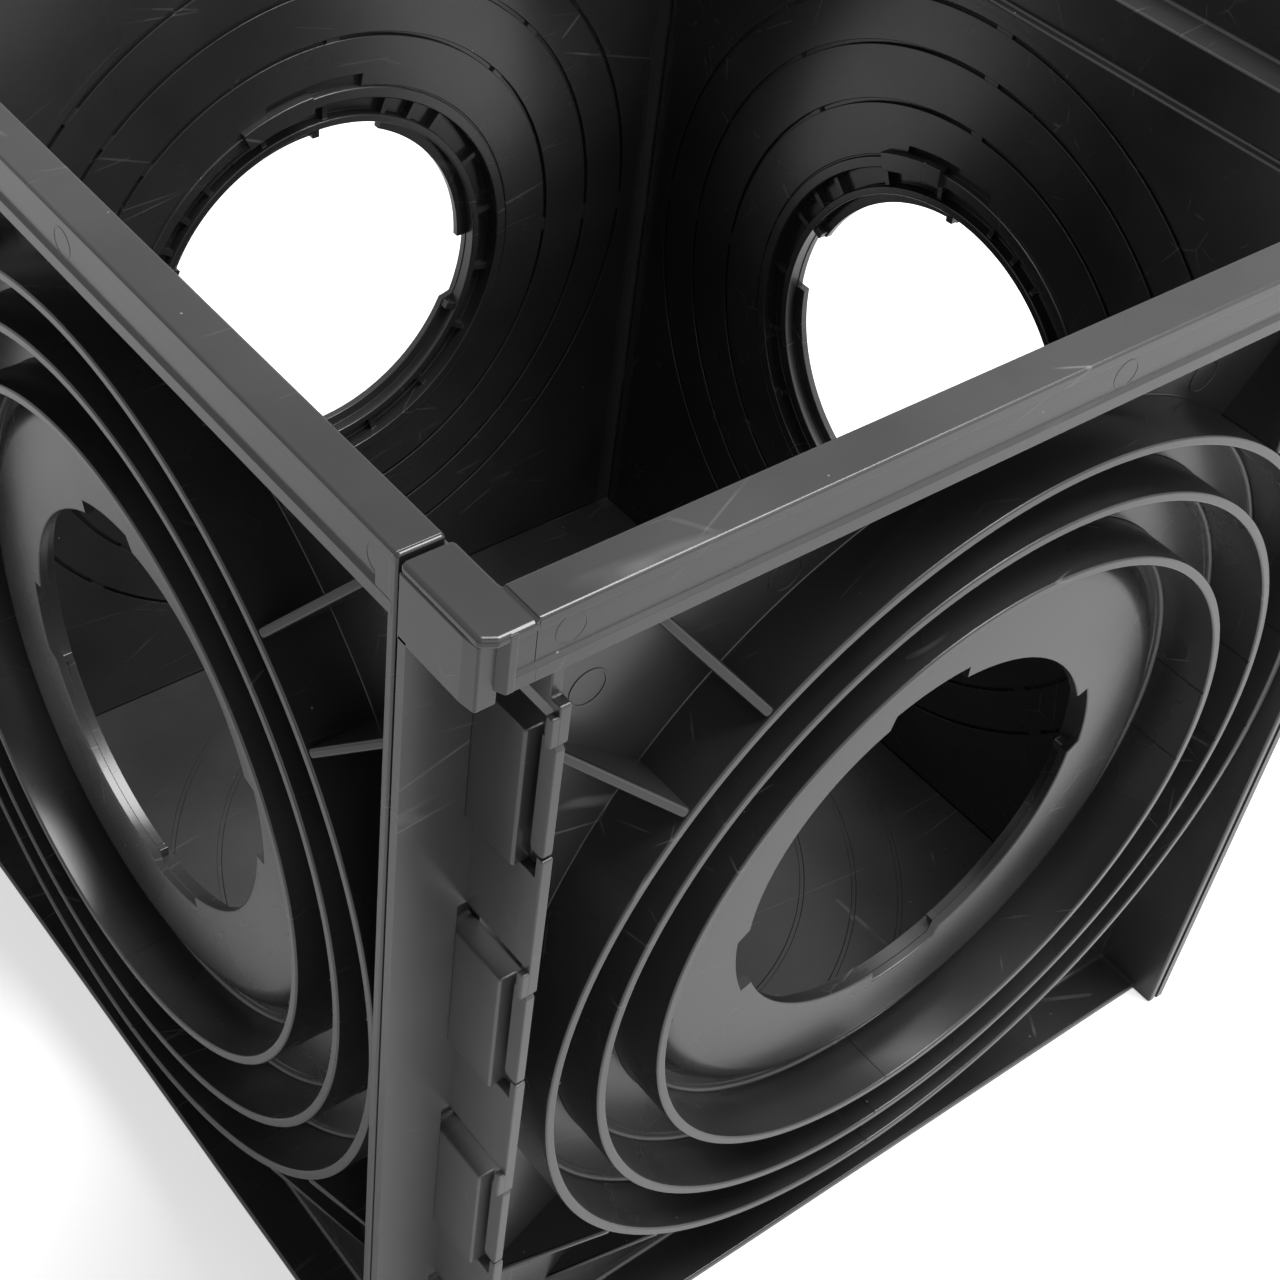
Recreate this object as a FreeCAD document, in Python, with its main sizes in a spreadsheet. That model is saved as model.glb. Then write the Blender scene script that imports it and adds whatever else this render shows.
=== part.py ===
"""Square catch basin that clips together from four equal moulded walls and a floor.

Each wall is one plastic moulding, drawn lying in its own frame: X runs along the wall
from its left end as seen from outside, Y runs inward from the outer plane and Z runs up
from the ground.  The four walls are the same moulding turned a quarter about the middle
of the box.  Fingers on the right end of a wall pass through slots in its neighbour and
hook over the upright post there.  The origin is the middle of the box, on the ground.
"""
import os
import re

import FreeCAD, Part
import Sketcher

SIZES = [
    ("box_side", 308.0, "outer plane to opposite outer plane"),
    ("box_high", 301.0, "ground to top of the rim"),
    ("skin", 2.6, "moulded wall"),
    ("plate_set", 21.0, "outer face of the plate behind the outer plane"),
    ("end_gap", 1.0, "right end of a wall to the plate of its neighbour"),
    ("foot_set", 6.8, "edge of the bottom flange behind the outer plane"),
    ("jog_drop", 33.0, "step of the plate below the top of the rim"),
    ("shelf_drop", 16.6, "top of the grate shelf below the top of the rim"),
    ("rim_high", 14.5, "height of the rim band"),
    ("rim_deep", 10.0, "rim from the outer plane inward"),
    ("lip_high", 3.3, "lower lip of the rim band"),
    ("brow_high", 2.5, "upper lip of the rim band"),
    ("web_set", 0.8, "web of the rim band behind its lips"),
    ("web_end", 6.5, "end of the web from the end of the rim"),
    ("post_set", 17.5, "left upright post from the outer corner"),
    ("post_drop", 24.0, "cut back of the post below the top of the rim"),
    ("post_cut", 3.0, "depth of the cut back of the post"),
    ("corner_wide", 11.0, "corner block along the wall"),
    ("corner_drop", 0.7, "top of the corner block below the rim"),
    ("corner_nick", 3.0, "bevel of the outer corner along the wall"),
    ("corner_bite", 1.9, "bevel of the outer corner inward"),
    ("axis_high", 143.5, "height of the pipe axis"),
    ("collar_set", 4.0, "front of collars and gussets behind the outer plane"),
    ("collar_large", 123.0, "outer radius of the large collar"),
    ("collar_middle", 108.6, "outer radius of the middle collar"),
    ("collar_small", 91.4, "outer radius of the small collar"),
    ("hole_radius", 55.5, "radius of the open pipe hole"),
    ("boss_set", 16.0, "face of the boss round the hole"),
    ("boss_flat", 75.5, "radius of the flat of the boss"),
    ("boss_foot", 84.0, "radius at which the boss meets the plate"),
    ("steep_angle", 51.4, "steep gussets from the horizontal"),
    ("flat_angle", 40.2, "flat gussets from the horizontal"),
    ("gusset_wall", 2.4, "thickness of the gussets"),
    ("gusset_reach", 34.0, "length of a lower gusset outside the collar"),
    ("clip_low", 18.9, "lower edge of the lowest clip"),
    ("clip_drop", 26.0, "upper end of the highest slot below the top of the rim"),
    ("clip_count", 4, "clips along a corner"),
    ("clip_high", 36.2, "height of a finger"),
    ("slot_high", 44.0, "height of a slot"),
    ("slot_play", 0.2, "clearance of a finger in its slot"),
    ("strip", 2.0, "front strip of the post that a finger hooks over"),
    ("finger_out", 2.0, "face of a finger outside the post"),
    ("finger_back", 1.0, "back of a finger behind the post"),
    ("groove_near", 4.4, "groove across a finger, near edge"),
    ("groove_far", 6.1, "groove across a finger, far edge"),
    ("groove_deep", 2.5, "depth of the groove across a finger"),
    ("hook_low", 6.0, "lower edge of a hook above its finger"),
    ("ledge_end", 40.0, "ends of the floor ledge from the ends of the wall"),
    ("ledge_wide", 6.0, "floor ledge inward of the plate"),
    ("ledge_wall", 2.0, "thickness of the floor ledge"),
    ("floor_play", 0.3, "floor to plate"),
    ("floor_wall", 2.4, "thickness of the floor"),
]

WORDS = {name for name, _, _ in SIZES}
INNER = "(plate_set + skin)"
RUN_END = "(box_side - plate_set - skin - end_gap)"
JOG = "(box_high - jog_drop)"
SHELF = "(box_high - shelf_drop)"
SHELF_LOW = "(box_high - shelf_drop - skin)"
RIM_LOW = "(box_high - rim_high)"
CLIP_RUN = "(box_high - clip_drop - slot_high - clip_low)"


def bound(text):
    """Write a formula in size names as an expression on the sheet of sizes."""
    return re.sub(r"[a-z_]+", lambda m: "Sizes." + m[0] if m[0] in WORDS else m[0], text)


def value(item, text):
    """Work out a formula in size names."""
    return float(item.evalExpression(bound(text)))


def origin_item(body, role):
    """Find one of the planes or axes of a body."""
    return next(each for each in body.Origin.OriginFeatures if each.Role == role)


def sketch(body, name, role, across="0", up="0", out="0"):
    """Start a sketch on a base plane of the body, moved by formulas in its own frame."""
    item = body.newObject("Sketcher::SketchObject", name)
    item.AttachmentSupport = (origin_item(body, role), [""])
    item.MapMode = "FlatFace"
    for letter, text in zip("xyz", (across, up, out)):
        if text != "0":
            item.setExpression("AttachmentOffset.Base." + letter, bound(text))
    return item


def pin(item, kind, line, spot, text):
    """Hold one coordinate of a point of a sketch to a formula."""
    if text == "0":
        axis = -2 if kind == "DistanceX" else -1
        item.addConstraint(Sketcher.Constraint("PointOnObject", line, spot, axis))
        return
    rule = Sketcher.Constraint(kind, -1, 1, line, spot, value(item, text))
    number = item.addConstraint(rule)
    item.setExpression("Constraints[%d]" % number, bound(text))


def outline(item, points):
    """Draw a closed outline through points given as pairs of formulas."""
    first = item.GeometryCount
    spots = [FreeCAD.Vector(value(item, x), value(item, y), 0) for x, y in points]
    for here, there in zip(spots, spots[1:] + spots[:1]):
        item.addGeometry(Part.LineSegment(here, there), False)
    count = len(points)
    for step in range(count):
        follow = first + (step + 1) % count
        item.addConstraint(Sketcher.Constraint("Coincident", first + step, 2, follow, 1))
    for step, (x, y) in enumerate(points):
        pin(item, "DistanceX", first + step, 1, x)
        pin(item, "DistanceY", first + step, 1, y)
    return item


def box_outline(item, left, low, right, high):
    """Draw a rectangle between two corners."""
    return outline(item, [(left, low), (right, low), (right, high), (left, high)])


def circle(item, across, up, radius):
    """Draw a circle."""
    middle = FreeCAD.Vector(value(item, across), value(item, up), 0)
    normal = FreeCAD.Vector(0, 0, 1)
    line = item.addGeometry(Part.Circle(middle, normal, value(item, radius)), False)
    pin(item, "DistanceX", line, 3, across)
    pin(item, "DistanceY", line, 3, up)
    rule = Sketcher.Constraint("Radius", line, value(item, radius))
    number = item.addConstraint(rule)
    item.setExpression("Constraints[%d]" % number, bound(radius))
    return item


def turning_line(item, start, end):
    """Draw the line a profile turns about."""
    ends = [FreeCAD.Vector(value(item, x), value(item, y), 0) for x, y in (start, end)]
    line = item.addGeometry(Part.LineSegment(*ends), True)
    for spot, (x, y) in ((1, start), (2, end)):
        pin(item, "DistanceX", line, spot, x)
        pin(item, "DistanceY", line, spot, y)
    return item


def feature(body, kind, name, profile, length=None, flip=False, middle=False):
    """Raise, cut or turn a sketched profile."""
    item = body.newObject("PartDesign::" + kind, name)
    item.Profile = profile
    profile.Visibility = False
    if length is None:
        item.ReferenceAxis = (profile, ["Axis0"])
        item.Angle = 360
    else:
        item.setExpression("Length", bound(length))
        item.Midplane = middle
    item.Reversed = flip
    return item


def row(body, name, originals):
    """Repeat features up the corner, one for each clip."""
    item = body.newObject("PartDesign::LinearPattern", name)
    item.Originals = originals
    item.Direction = (origin_item(body, "Z_Axis"), [""])
    item.setExpression("Length", bound(CLIP_RUN))
    item.setExpression("Occurrences", bound("clip_count"))
    body.Tip = item
    return item


def gusset(body, name, angle, points):
    """Stand a thin rib on the plate, radially outside the large collar."""
    item = sketch(body, name + "_outline", "XY_Plane", "box_side / 2", "0", "axis_high")
    item.AttachmentOffset = FreeCAD.Placement(
        item.AttachmentOffset.Base, FreeCAD.Rotation(FreeCAD.Vector(0, -1, 0), 45)
    )
    item.setExpression("AttachmentOffset.Rotation.Angle", bound(angle))
    outline(item, points)
    return feature(body, "Pad", name, item, "gusset_wall", middle=True)


def shell(body):
    """Section of plate, foot, shelf and rim, with the flanges at both ends."""
    item = sketch(body, "section", "YZ_Plane", out="post_set")
    outline(item, [
        ("foot_set", "0"),
        (INNER, "0"),
        (INNER, JOG),
        ("plate_set", JOG),
        ("plate_set", SHELF),
        ("rim_deep", SHELF),
        ("rim_deep", "box_high"),
        ("0", "box_high"),
        ("0", RIM_LOW),
        ("skin", RIM_LOW),
        ("skin", "box_high - skin"),
        ("rim_deep - skin", "box_high - skin"),
        ("rim_deep - skin", SHELF_LOW),
        ("plate_set - skin", SHELF_LOW),
        ("plate_set - skin", JOG + " - skin"),
        ("plate_set", JOG + " - skin"),
        ("plate_set", "skin"),
        ("foot_set", "skin"),
    ])
    feature(body, "Pad", "wall_section", item, RUN_END + " - post_set")

    item = sketch(body, "end_plate_plan", "XY_Plane")
    box_outline(item, "0", "plate_set", "post_set + skin", INNER)
    feature(body, "Pad", "end_plate", item, SHELF)

    item = sketch(body, "post_side", "YZ_Plane", out="post_set")
    outline(item, [
        ("0", "0"),
        (INNER, "0"),
        (INNER, SHELF),
        ("post_cut", SHELF),
        ("post_cut", "box_high - post_drop"),
        ("0", "box_high - post_drop"),
    ])
    feature(body, "Pad", "post", item, "skin")

    item = sketch(body, "end_flange_side", "YZ_Plane", out=RUN_END + " - skin")
    outline(item, [
        ("0", "0"),
        (INNER, "0"),
        (INNER, JOG),
        ("plate_set", JOG),
        ("plate_set", SHELF),
        ("rim_deep", SHELF),
        ("rim_deep", "box_high"),
        ("0", "box_high"),
    ])
    feature(body, "Pad", "end_flange", item, "skin")

    item = sketch(body, "floor_ledge_plan", "XY_Plane")
    box_outline(item, "ledge_end", "plate_set", "box_side - ledge_end", INNER + " + ledge_wide")
    feature(body, "Pad", "floor_ledge", item, "ledge_wall")


def corner(body):
    """Block that carries the rim round the corner, with the cap of the open notch."""
    item = sketch(body, "corner_cap_plan", "XY_Plane", out=SHELF_LOW)
    outline(item, [
        ("corner_nick", "0"),
        ("post_set + skin", "0"),
        ("post_set + skin", INNER),
        ("0", INNER),
        ("0", "corner_bite"),
    ])
    feature(body, "Pad", "corner_cap", item, "skin")

    item = sketch(body, "corner_block_plan", "XY_Plane", out=SHELF_LOW)
    outline(item, [
        ("corner_nick", "0"),
        ("post_set + skin", "0"),
        ("post_set + skin", "rim_deep"),
        ("corner_wide", "rim_deep"),
        ("corner_wide", INNER + " + end_gap / 2"),
        ("0", INNER + " + end_gap / 2"),
        ("0", "corner_bite"),
    ])
    feature(body, "Pad", "corner_block", item, "box_high - corner_drop - " + SHELF_LOW)

    item = sketch(body, "rim_web_front", "XZ_Plane")
    box_outline(item, "web_end", RIM_LOW + " + lip_high", RUN_END + " - web_end", "box_high - brow_high")
    feature(body, "Pocket", "rim_web", item, "web_set")


def pipe_end(body):
    """Three collars for pipes that slide over, and the boss with the open hole."""
    item = sketch(body, "collars_side", "YZ_Plane", out="box_side / 2")
    turning_line(item, ("0", "axis_high"), (INNER, "axis_high"))
    for name in ("collar_large", "collar_middle", "collar_small"):
        top = "axis_high + " + name
        box_outline(item, "collar_set", top + " - skin", "plate_set + skin / 2", top)
    outline(item, [
        ("boss_set", "axis_high + hole_radius - skin"),
        ("boss_set", "axis_high + boss_flat"),
        ("plate_set", "axis_high + boss_foot"),
        ("plate_set + skin / 2", "axis_high + boss_foot"),
        ("plate_set + skin / 2", "axis_high + hole_radius - skin"),
    ])
    feature(body, "Revolution", "collars", item)

    item = sketch(body, "pipe_hole_front", "XZ_Plane")
    circle(item, "box_side / 2", "axis_high", "hole_radius")
    feature(body, "Pocket", "pipe_hole", item, INNER + " + skin")


def gussets(body):
    """Ribs from the large collar to the rim, the post and the end flange, and down to the foot."""
    root = "collar_large - skin / 2"
    ends = {
        "gusset_post": ("180 - flat_angle", "(box_side / 2 - post_set - skin / 2) / cos(flat_angle)"),
        "gusset_end": ("flat_angle", "(" + RUN_END + " - skin / 2 - box_side / 2) / cos(flat_angle)"),
    }
    for name, (angle, end) in ends.items():
        gusset(body, name, angle, [
            (root, "collar_set"),
            (end, "collar_set"),
            (end, "plate_set + skin / 2"),
            (root, "plate_set + skin / 2"),
        ])
    rim, seat, step = [
        "(" + level + " - axis_high) / sin(steep_angle)"
        for level in (RIM_LOW, SHELF + " - skin / 2", JOG + " - skin / 2")
    ]
    for name, angle in (("gusset_left", "180 - steep_angle"), ("gusset_right", "steep_angle")):
        gusset(body, name, angle, [
            (root, "collar_set"),
            (rim, "collar_set"),
            (rim, "rim_deep - skin / 2"),
            (seat, "rim_deep - skin / 2"),
            (seat, "plate_set - skin / 2"),
            (step, "plate_set - skin / 2"),
            (step, "plate_set + skin / 2"),
            (root, "plate_set + skin / 2"),
        ])
    lower = {
        "gusset_low_post": "180 + flat_angle",
        "gusset_low_left": "180 + steep_angle",
        "gusset_low_right": "360 - steep_angle",
        "gusset_low_end": "360 - flat_angle",
    }
    for name, angle in lower.items():
        gusset(body, name, angle, [
            (root, "collar_set"),
            ("collar_large + gusset_reach", "plate_set"),
            ("collar_large + gusset_reach", "plate_set + skin / 2"),
            (root, "plate_set + skin / 2"),
        ])


def clips(body):
    """Slots beside the post for the neighbour's fingers, and the fingers of the right end."""
    face = "(post_set - finger_out)"
    back = "(post_set + skin + finger_back)"
    item = sketch(body, "slot_front", "XZ_Plane", out="0 - strip")
    box_outline(item, face + " - slot_play", "clip_low", back + " + slot_play", "clip_low + slot_high")
    slot = feature(body, "Pocket", "slot", item, INNER + " + skin - strip")
    item = sketch(body, "bay_front", "XZ_Plane", out="0")
    box_outline(
        item, "post_set - skin / 2", "clip_low + hook_low - slot_play",
        "post_set + skin * 3 / 2", "clip_low + clip_high + slot_play",
    )
    bay = feature(body, "Pocket", "bay", item, "strip + skin / 2")
    row(body, "slots", [slot, bay])

    tip = "(box_side - strip - slot_play)"
    item = sketch(body, "finger_plan", "XY_Plane", out="clip_low")
    outline(item, [
        (RUN_END + " - skin / 2", face),
        ("box_side - groove_far", face),
        ("box_side - groove_far", face + " + groove_deep"),
        ("box_side - groove_near", face + " + groove_deep"),
        (tip, face + " + groove_deep"),
        (tip, back),
        (RUN_END + " - skin / 2", back),
    ])
    finger = feature(body, "Pad", "finger", item, "clip_high")
    item = sketch(body, "hook_plan", "XY_Plane", out="clip_low + hook_low")
    box_outline(
        item, "box_side - groove_near", "post_set + slot_play",
        "box_side - slot_play", "post_set + skin - slot_play",
    )
    hook = feature(body, "Pad", "hook", item, "clip_high - hook_low")
    row(body, "fingers", [finger, hook])


def wall(doc, name, turn, across, along):
    """Build one wall and turn it to its side of the box."""
    body = doc.addObject("PartDesign::Body", name)
    body.Label = name
    shell(body)
    corner(body)
    pipe_end(body)
    gussets(body)
    clips(body)
    body.Placement.Rotation = FreeCAD.Rotation(FreeCAD.Vector(0, 0, 1), turn)
    body.setExpression("Placement.Base.x", bound("box_side / 2 * (%d)" % across))
    body.setExpression("Placement.Base.y", bound("box_side / 2 * (%d)" % along))
    return body


def floor_panel(doc):
    """Build the square floor that lies on the ledges of the walls."""
    body = doc.addObject("PartDesign::Body", "floor_panel")
    body.Label = "floor_panel"
    edge = "(plate_set + skin + floor_play)"
    item = sketch(body, "floor_plan", "XY_Plane", out="ledge_wall")
    box_outline(item, edge, edge, "box_side - " + edge, "box_side - " + edge)
    feature(body, "Pad", "floor_plate", item, "floor_wall")
    body.setExpression("Placement.Base.x", bound("0 - box_side / 2"))
    body.setExpression("Placement.Base.y", bound("0 - box_side / 2"))
    return body


def main():
    """Set down the sizes, build the pieces, check them and write them out."""
    doc = FreeCAD.newDocument("catch_basin")
    sheet = doc.addObject("Spreadsheet::Sheet", "Sizes")
    for line, (name, size, note) in enumerate(SIZES, start=1):
        sheet.set("A%d" % line, note)
        sheet.set("B%d" % line, repr(size))
        sheet.setAlias("B%d" % line, name)
    doc.recompute()

    pieces = [
        wall(doc, "wall_front", 0, -1, -1),
        wall(doc, "wall_left", -90, -1, 1),
        wall(doc, "wall_back", 180, 1, 1),
        wall(doc, "wall_right", 90, 1, -1),
        floor_panel(doc),
    ]
    doc.recompute()

    for item in doc.Objects:
        if "Invalid" in item.State or "Error" in item.State:
            raise RuntimeError("%s could not be built" % item.Name)
    for piece in pieces:
        if piece.Shape.isNull() or not piece.Shape.isValid() or len(piece.Shape.Solids) != 1:
            raise RuntimeError("%s is not one sound solid" % piece.Label)
    os.makedirs("parts", exist_ok=True)
    for piece in pieces:
        piece.Shape.exportStep("parts/%s.step" % piece.Label)


main()
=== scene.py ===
"""Catch basin that clips together from four equal moulded walls and a floor.

Every moulding is worked out in the frame of its own wall, in millimetres: u runs along the
wall from its left end as seen from outside, d runs inward from the outer plane and z runs up
from the ground.  A wall is made of closed shells that run into each other, each with its
own rounded edges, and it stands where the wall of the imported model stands.
"""
import logging
import math
from dataclasses import dataclass
from enum import Enum
from typing import Sequence

import bpy
import numpy as np
from mathutils import Matrix, Vector


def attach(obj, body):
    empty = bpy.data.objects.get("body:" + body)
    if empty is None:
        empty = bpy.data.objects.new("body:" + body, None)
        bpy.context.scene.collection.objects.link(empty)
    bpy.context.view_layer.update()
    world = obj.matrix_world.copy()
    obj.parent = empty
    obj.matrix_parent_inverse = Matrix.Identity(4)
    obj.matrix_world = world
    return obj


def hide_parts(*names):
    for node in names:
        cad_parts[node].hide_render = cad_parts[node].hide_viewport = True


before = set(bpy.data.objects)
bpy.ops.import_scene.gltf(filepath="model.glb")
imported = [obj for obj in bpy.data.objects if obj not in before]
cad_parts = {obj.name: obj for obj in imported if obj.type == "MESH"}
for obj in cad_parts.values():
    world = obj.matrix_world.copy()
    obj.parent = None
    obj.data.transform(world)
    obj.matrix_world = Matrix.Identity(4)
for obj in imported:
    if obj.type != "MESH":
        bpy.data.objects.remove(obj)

log = logging.getLogger("catch_basin")

MM = 0.001
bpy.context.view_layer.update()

Array = np.ndarray
Pair = tuple[float, float]
Spot = tuple[float, float, float]
Colour = tuple[float, float, float, float]
Outline = Sequence[tuple[float, ...]]
Socket = bpy.types.NodeSocket


# ---------------- surfaces


def unit(vectors: Array) -> Array:
    """Scale vectors to length one."""
    return vectors / np.maximum(np.linalg.norm(vectors, axis=-1, keepdims=True), 1e-12)


def rounded(points: Array, radii: Array, steps: int) -> tuple[Array, Array]:
    """Round the corners of a closed outline.

    Each corner gives way to an arc that touches both of its sides.  Along the arc the outward
    normal turns evenly from the normal of the one side to that of the other, and a point of
    the arc is the centre plus the radius times that normal, on the side the corner bends to.

    Args:
        points: Corners, anticlockwise, one row each.
        radii: Radius at each corner.
        steps: Steps along an arc.

    Returns:
        Points along the rounded outline and the outward normal at each.
    """
    before = unit(points - np.roll(points, 1, axis=0))
    after = np.roll(before, -1, axis=0)
    cross = before[:, 0] * after[:, 1] - before[:, 1] * after[:, 0]
    turn = np.arctan2(cross, (before * after).sum(axis=1))
    start = points - before * (radii * np.abs(np.tan(turn / 2)))[:, None]
    side = np.stack([before[:, 1], -before[:, 0]], axis=1)
    angle = turn[:, None] * np.linspace(0.0, 1.0, steps + 1)
    cos, sin = np.cos(angle), np.sin(angle)
    x, y = side.T[..., None]
    normal = np.stack([x * cos - y * sin, x * sin + y * cos], axis=-1)
    bend = (np.sign(turn) * radii)[:, None, None]
    spots = start[:, None] - side[:, None] * bend + normal * bend
    return spots.reshape(-1, 2), normal.reshape(-1, 2)


@dataclass(frozen=True)
class Lie:
    """How a flat outline lies in a wall: origin, the two axes drawn on, the axis raised along."""

    origin: Spot
    across: Spot
    up: Spot
    out: Spot

    def place(self, flat: Array, height: Array) -> Array:
        """Carry points of the outline, raised by a height, into the wall."""
        return np.array(self.origin) + self.turn(flat, height)

    def turn(self, flat: Array, height: Array) -> Array:
        """Carry directions into the wall."""
        return (
            flat[..., :1] * np.array(self.across)
            + flat[..., 1:] * np.array(self.up)
            + np.asarray(height)[..., None] * np.array(self.out)
        )


PLAN = Lie((0, 0, 0), (1, 0, 0), (0, 1, 0), (0, 0, 1))  # u and d, raised along z
SIDE = Lie((0, 0, 0), (0, 1, 0), (0, 0, 1), (1, 0, 0))  # d and z, raised along u
FRONT = Lie((0, 0, 0), (0, 0, 1), (1, 0, 0), (0, 1, 0))  # z and u, raised along d


class Skin:
    """Gathers the surfaces of one moulding and makes a mesh of them."""

    STEEP = 0.55  # a face that agrees less with its normals takes its own
    SPARE = 1.3  # least corner radius, in edge radii

    def __init__(self) -> None:
        """Start with no surface."""
        self.spots: list[Array] = []
        self.normals: list[Array] = []
        self.quads: list[Array] = []
        self.lids: list[tuple[Array, Array]] = []
        self.count = 0

    def sheet(self, spots: Array, normals: Array, wrap: tuple[bool, bool]) -> Array:
        """Add a grid of points as a surface whose faces look along the normals.

        Args:
            spots: Points, rows by columns by three.
            normals: Outward normals at the points.
            wrap: Whether the last row meets the first, and the last column the first.

        Returns:
            Number of each point in the mesh, rows by columns.
        """
        rows, columns = spots.shape[:2]
        index = np.arange(rows * columns).reshape(rows, columns) + self.count
        loop = np.concatenate([index, index[:1]], axis=0) if wrap[0] else index
        loop = np.concatenate([loop, loop[:, :1]], axis=1) if wrap[1] else loop
        quads = np.stack(
            [loop[:-1, :-1], loop[1:, :-1], loop[1:, 1:], loop[:-1, 1:]], axis=-1
        ).reshape(-1, 4)
        flat, lean = spots.reshape(-1, 3), normals.reshape(-1, 3)
        corner = flat[quads - self.count]
        face = np.cross(corner[:, 2] - corner[:, 0], corner[:, 3] - corner[:, 1])
        if (face * lean[quads - self.count].sum(axis=1)).sum() < 0:
            quads = quads[:, ::-1]
        self.spots.append(flat)
        self.normals.append(lean)
        self.quads.append(quads)
        self.count += rows * columns
        return index

    def lid(self, ring: Array, normal: Array) -> None:
        """Close a ring of points with one flat face that looks along a normal."""
        spots = np.concatenate(self.spots)[ring]
        area = np.cross(spots, np.roll(spots, -1, axis=0)).sum(axis=0)
        self.lids.append((ring if area @ normal > 0 else ring[::-1], normal))

    def prism(
        self, lie: Lie, outline: Outline, low: float, high: float, edge: float = 0.4, steps: int = 3
    ) -> None:
        """Raise an outline between two heights, with rounded corners and rounded edges.

        The outline's corners become arcs.  Towards either end the section draws in along its
        normals by edge times (1 - sin a) while it rises by edge times (1 - cos a), with a from
        0 to a quarter turn, which rounds the edge.

        Args:
            lie: How the outline lies in the wall.
            outline: Corners, each with an optional radius as a third number.
            low: Height of the lower end.
            high: Height of the upper end.
            edge: Radius of the edges round both ends.
            steps: Steps along an arc.
        """
        points = np.array([corner[:2] for corner in outline], dtype=float)
        radii = np.array([corner[2] if len(corner) > 2 else edge for corner in outline])
        follow = np.roll(points, -1, axis=0)
        if (points[:, 0] * follow[:, 1] - points[:, 1] * follow[:, 0]).sum() < 0:
            points, radii = points[::-1], radii[::-1]
        path, side = rounded(points, np.maximum(radii, edge * self.SPARE), steps)
        angle = np.linspace(0.0, math.pi / 2, steps + 1)
        rise, draw = edge * (1 - np.cos(angle)), edge * (1 - np.sin(angle))
        height = np.concatenate([low + rise, (high - rise)[::-1]])
        inset = np.concatenate([draw, draw[::-1]])
        lateral = np.concatenate([np.sin(angle), np.sin(angle)[::-1]])
        axial = np.concatenate([-np.cos(angle), np.cos(angle)[::-1]])
        flat = path[None] - side[None] * inset[:, None, None]
        level, tilt = (np.broadcast_to(row[:, None], flat.shape[:2]) for row in (height, axial))
        lean = lie.turn(side[None] * lateral[:, None, None], tilt)
        index = self.sheet(lie.place(flat, level), lean, (False, True))
        out = np.array(lie.out, dtype=float)
        self.lid(index[0], -out)
        self.lid(index[-1], out)

    def box(self, u: Pair, d: Pair, z: Pair, edge: float = 0.4) -> None:
        """Raise a rectangle in u and d between two heights."""
        plan = [(u[0], d[0]), (u[1], d[0]), (u[1], d[1]), (u[0], d[1])]
        self.prism(PLAN, plan, z[0], z[1], edge)

    def turned(self, lie: Lie, angles: Array, profiles: Array, normals: Array) -> None:
        """Carry a closed profile round an axis.

        A point of the profile has a height along the axis and a radius.  At angle a it stands
        at the radius times (cos a, sin a), at its height; its normal turns with it.

        Args:
            lie: Axis (out) and the two directions across it.
            angles: Angles round the axis, rising, over one turn.
            profiles: Height and radius at each angle, angles by points by two.
            normals: Normals as height and radius parts, of the same shape.
        """
        round_ = np.stack([np.cos(angles), np.sin(angles)], axis=-1)[:, None]
        self.sheet(
            lie.place(profiles[..., 1:] * round_, profiles[..., 0]),
            lie.turn(normals[..., 1:] * round_, normals[..., 0]),
            (True, True),
        )

    def panel(
        self, lie: Lie, sides: Sequence[float], hidden: float, faces: Pair, edges: Sequence[float]
    ) -> None:
        """Add a flat rectangle with a round opening.

        The panel is worked out on rays from the axis: at each angle its section runs from a
        circle to the edge of the rectangle and back.  The distance to the edge is the least
        of the distances along the ray to the lines of the four sides.

        Args:
            lie: Axis (out) and the two directions across it.
            sides: Distance of the right, upper, left and lower side from the axis, with sign.
            hidden: Radius of the opening.
            faces: Heights of the two faces along the axis.
            edges: Rounding of the four sides.
        """
        right, upper, left, lower = sides
        corners = np.arctan2([upper, upper, lower, lower], [right, left, left, right])
        tiny = 1e-4
        steady = np.linspace(-math.pi, math.pi, 180, endpoint=False)
        angles = np.unique(np.concatenate([steady, corners - tiny, corners + tiny]))
        cos, sin = np.cos(angles), np.sin(angles)
        with np.errstate(divide="ignore"):
            reach = np.stack([right / cos, upper / sin, left / cos, lower / sin])
        reach = np.where(reach > 0, reach, np.inf)
        side, reach = reach.argmin(axis=0), reach.min(axis=0)
        lean = np.array([[1, 0], [0, 1], [-1, 0], [0, -1]], dtype=float)[side]
        edge, slope = np.asarray(edges)[side], math.sqrt(0.5)
        half, inside = edge * (1 - slope), np.full_like(reach, hidden)
        near, far = (np.full_like(reach, face) for face in faces)
        outer = [inside, reach - edge, reach - half, reach]
        radius = np.stack(outer + outer[::-1], axis=1)
        levels = [near, near, near + half, near + edge, far - edge, far - half, far, far]
        height = np.stack(levels, axis=1)
        outward = np.array([0, 0, slope, 1, 1, slope, 0, 0])
        along = np.array([-1, -1, -slope, 0, 0, slope, 1, 1])
        flat = radius[..., None] * np.stack([cos, sin], axis=-1)[:, None]
        self.sheet(
            lie.place(flat, height),
            lie.turn(lean[:, None] * outward[None, :, None], np.broadcast_to(along, radius.shape)),
            (True, True),
        )

    def ring(self, lie: Lie, corners: Outline, count: int = 48) -> None:
        """Turn one closed outline of height, radius and corner radius about an axis, unchanged."""
        shape = np.array(corners, dtype=float)
        path, normal = rounded(shape[:, :2], shape[:, 2], 2)
        angles = np.linspace(0.0, 2 * math.pi, count, endpoint=False)
        path, normal = (np.repeat(row[None], count, axis=0) for row in (path, normal))
        self.turned(lie, angles, path, normal)

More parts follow.
